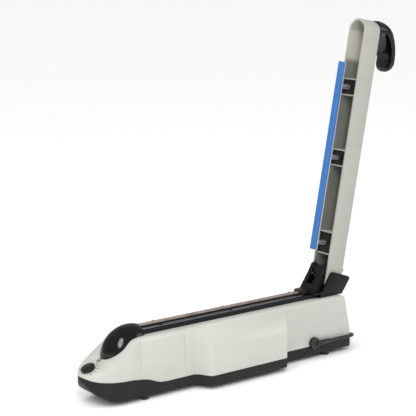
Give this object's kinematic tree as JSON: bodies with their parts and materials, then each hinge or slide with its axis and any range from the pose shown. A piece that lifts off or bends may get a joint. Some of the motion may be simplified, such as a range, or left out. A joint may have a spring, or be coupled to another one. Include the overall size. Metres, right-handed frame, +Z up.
{
  "type": "impulse heat sealer",
  "caption": "Table-top impulse heat sealer with a hinged channel arm, sprung blue silicone pressure bar, heated bed, timer knob and mains cord.",
  "frame": {"origin": "on the bench under the middle of the machine with its arm open, the loose cord not counted", "axes": "+X from the nose toward the hinge end, +Y from the near side to the far side, +Z up"},
  "size_m": [0.595, 0.1988, 0.5367],
  "materials": {
    "arm_plastic": "moulded",
    "black_plastic": "moulded",
    "board": "solder mask",
    "bright_steel": "plated",
    "carrier_aluminium": "extruded",
    "clamp_aluminium": "extruded",
    "cord_pvc": "moulded",
    "core_steel": "laminated",
    "cover_plastic": "moulded",
    "dark_steel": "blackened",
    "foot_rubber": "moulded",
    "gloss_black": "polished",
    "lamp_lens": "clear red",
    "nichrome": "bright",
    "pad_rubber": "moulded sheet",
    "plunger_red": "moulded",
    "ptfe_fabric": "coated glass fabric",
    "rail_black": "satin black",
    "silicone_blue": "moulded",
    "terminal_brass": "plain",
    "winding_tape": "taped winding"
  },
  "bodies": {
    "base": {"base_pan": "black_plastic", "bed_rail": "rail_black", "bracket_screw_1": "dark_steel", "bracket_screw_2": "dark_steel", "clamp_screw_far_1": "dark_steel", "clamp_screw_far_2": "dark_steel", "clamp_screw_far_3": "dark_steel", "clamp_screw_near_1": "dark_steel", "clamp_screw_near_2": "dark_steel", "clamp_screw_near_3": "dark_steel", "clamp_strip_far": "clamp_aluminium", "clamp_strip_near": "clamp_aluminium", "control_board": "board", "cord_coil": "cord_pvc", "cord_gland": "cord_pvc", "cord_tail": "cord_pvc", "end_dome": "gloss_black", "foot_front_far": "foot_rubber", "foot_front_near": "foot_rubber", "foot_rear_far": "foot_rubber", "foot_rear_near": "foot_rubber", "foot_screw_front_far": "dark_steel", "foot_screw_front_near": "dark_steel", "foot_screw_rear_far": "dark_steel", "foot_screw_rear_near": "dark_steel", "front_terminal": "terminal_brass", "heating_element": "nichrome", "hinge_bracket": "black_plastic", "hinge_pin": "bright_steel", "insulating_pad": "pad_rubber", "main_cover": "cover_plastic", "micro_switch": "black_plastic", "nose_cap": "cover_plastic", "power_cord": "cord_pvc", "power_plug": "cord_pvc", "ptfe_cover": "ptfe_fabric", "rear_terminal": "terminal_brass", "status_led": "lamp_lens", "timer_potentiometer": "bright_steel", "torsion_spring": "bright_steel", "transformer_core": "core_steel", "transformer_winding": "winding_tape"},
    "arm": {"arm_channel": "arm_plastic", "arm_hub": "black_plastic", "bar_guide_1": "black_plastic", "bar_guide_2": "black_plastic", "bar_guide_3": "black_plastic", "bar_spring_1": "bright_steel", "bar_spring_2": "bright_steel", "bar_spring_3": "bright_steel", "handle": "gloss_black", "handle_screw_1": "dark_steel", "handle_screw_2": "dark_steel", "hub_screw_1": "dark_steel", "hub_screw_2": "dark_steel"},
    "pressure_bar": {"bar_carrier": "carrier_aluminium", "pressure_strip": "silicone_blue"},
    "knob": {"timer_knob": "gloss_black"},
    "plunger": {"switch_plunger": "plunger_red"}
  },
  "joints": [
    {"name": "arm_hinge", "type": "hinge", "parent": "base", "child": "arm", "pos_m": [0.15199, 0.01175, 0.1263], "axis": [0, -1, 0], "range_deg": [0, 100.4], "stiffness_Nm_per_rad": 0.35, "springref_deg": -17.19, "deforming": ["torsion_spring"]},
    {"name": "bar_float", "type": "slide", "parent": "arm", "child": "pressure_bar", "axis": [0.9836, 0, -0.1805], "range_m": [0, 0.004], "stiffness_N_per_m": 1500, "springref_m": -0.002, "deforming": ["bar_spring_1", "bar_spring_2", "bar_spring_3"]},
    {"name": "knob_turn", "type": "hinge", "parent": "base", "child": "knob", "pos_m": [-0.28401, 0.01025, 0.0535], "axis": [-0.4061, 0, 0.9138], "range_deg": [-270, 0]},
    {"name": "plunger_slide", "type": "slide", "parent": "base", "child": "plunger", "axis": [0, 0, 1], "range_m": [-0.0013, 0]}
  ],
  "couplings": [
    {"joint": "plunger_slide", "follows": "arm_hinge", "m_per_rad": -0.00068481}
  ]
}
